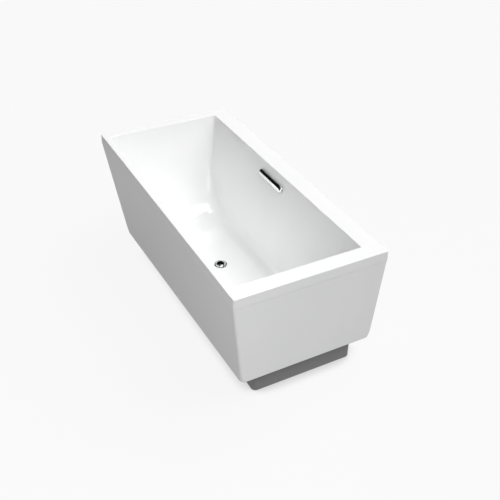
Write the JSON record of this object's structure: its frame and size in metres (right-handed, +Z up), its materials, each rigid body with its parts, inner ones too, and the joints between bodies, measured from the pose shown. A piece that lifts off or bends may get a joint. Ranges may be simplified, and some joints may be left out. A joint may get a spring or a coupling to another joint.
{
  "type": "freestanding bathtub",
  "caption": "Rectangular freestanding bathtub with a raked head end, flat rim, recessed plinth, pop-up drain and slotted side overflow.",
  "frame": {"origin": "middle of the rim's outline, at floor level", "axes": "+Z up, +X from the raked head end to the upright foot end, +Y towards the wide side of the rim, which carries the overflow"},
  "size_m": [1.7, 0.8, 0.63],
  "materials": {
    "white_acrylic": "gloss",
    "plinth_grey": "satin",
    "timber": "matte",
    "steel_tube": "satin",
    "zinc_steel": "satin",
    "black_rubber": "matte",
    "guide_plastic": "matte",
    "chrome": "polished",
    "pipe_plastic": "matte"
  },
  "bodies": {
    "tub": {"basin": "white_acrylic", "skirt": "white_acrylic", "plinth": "plinth_grey", "rim_batten_head": "timber", "rim_batten_foot": "timber", "rim_batten_left": "timber", "rim_batten_right": "timber", "base_board_head": "timber", "base_board_foot": "timber", "rail_left": "steel_tube", "rail_right": "steel_tube", "crossbar_head": "steel_tube", "crossbar_foot": "steel_tube", "plinth_brackets": "steel_tube", "skirt_screws": "zinc_steel", "board_screws": "zinc_steel", "plinth_screws": "zinc_steel", "overflow_screws": "zinc_steel", "leveler_weld_nuts": "zinc_steel", "leveler_lock_nuts": "zinc_steel", "drain_gasket": "black_rubber", "drain_washer": "black_rubber", "overflow_gasket": "black_rubber", "slip_washers": "black_rubber", "stopper_guide": "guide_plastic", "drain_flange": "chrome", "overflow_cover": "chrome", "waste_shoe": "pipe_plastic", "waste_pipe": "pipe_plastic", "waste_tee": "pipe_plastic", "tailpiece": "pipe_plastic", "overflow_body": "pipe_plastic", "overflow_pipe": "pipe_plastic", "slip_nuts": "pipe_plastic"},
    "stopper": {"stopper_cap": "chrome", "stopper_stem": "zinc_steel", "stopper_seal": "black_rubber"},
    "leveler_pad_head_left": {"leveler_pad_head_left": "black_rubber"},
    "leveler_stud_head_left": {"leveler_stud_head_left": "zinc_steel"},
    "leveler_pad_head_right": {"leveler_pad_head_right": "black_rubber"},
    "leveler_stud_head_right": {"leveler_stud_head_right": "zinc_steel"},
    "leveler_pad_foot_left": {"leveler_pad_foot_left": "black_rubber"},
    "leveler_stud_foot_left": {"leveler_stud_foot_left": "zinc_steel"},
    "leveler_pad_foot_right": {"leveler_pad_foot_right": "black_rubber"},
    "leveler_stud_foot_right": {"leveler_stud_foot_right": "zinc_steel"}
  },
  "joints": [
    {"name": "stopper_lift", "type": "slide", "parent": "tub", "child": "stopper", "axis": [0, 0, 1], "range_m": [0, 0.009]},
    {"name": "leveler_height_head_left", "type": "slide", "parent": "tub", "child": "leveler_pad_head_left", "axis": [0, 0, -1], "range_m": [-0.0035, 0.0105]},
    {"name": "leveler_turn_head_left", "type": "hinge", "parent": "leveler_pad_head_left", "child": "leveler_stud_head_left", "pos_m": [-0.4, -0.205, 0.05], "axis": [0, 0, -1], "range_deg": [-720, 2160]},
    {"name": "leveler_height_head_right", "type": "slide", "parent": "tub", "child": "leveler_pad_head_right", "axis": [0, 0, -1], "range_m": [-0.0035, 0.0105]},
    {"name": "leveler_turn_head_right", "type": "hinge", "parent": "leveler_pad_head_right", "child": "leveler_stud_head_right", "pos_m": [-0.4, 0.205, 0.05], "axis": [0, 0, -1], "range_deg": [-720, 2160]},
    {"name": "leveler_height_foot_left", "type": "slide", "parent": "tub", "child": "leveler_pad_foot_left", "axis": [0, 0, -1], "range_m": [-0.0035, 0.0105]},
    {"name": "leveler_turn_foot_left", "type": "hinge", "parent": "leveler_pad_foot_left", "child": "leveler_stud_foot_left", "pos_m": [0.56, -0.205, 0.05], "axis": [0, 0, -1], "range_deg": [-720, 2160]},
    {"name": "leveler_height_foot_right", "type": "slide", "parent": "tub", "child": "leveler_pad_foot_right", "axis": [0, 0, -1], "range_m": [-0.0035, 0.0105]},
    {"name": "leveler_turn_foot_right", "type": "hinge", "parent": "leveler_pad_foot_right", "child": "leveler_stud_foot_right", "pos_m": [0.56, 0.205, 0.05], "axis": [0, 0, -1], "range_deg": [-720, 2160]}
  ],
  "couplings": [
    {"joint": "leveler_turn_head_left", "follows": "leveler_height_head_left", "rad_per_m": 3590.4},
    {"joint": "leveler_turn_head_right", "follows": "leveler_height_head_right", "rad_per_m": 3590.4},
    {"joint": "leveler_turn_foot_left", "follows": "leveler_height_foot_left", "rad_per_m": 3590.4},
    {"joint": "leveler_turn_foot_right", "follows": "leveler_height_foot_right", "rad_per_m": 3590.4}
  ]
}
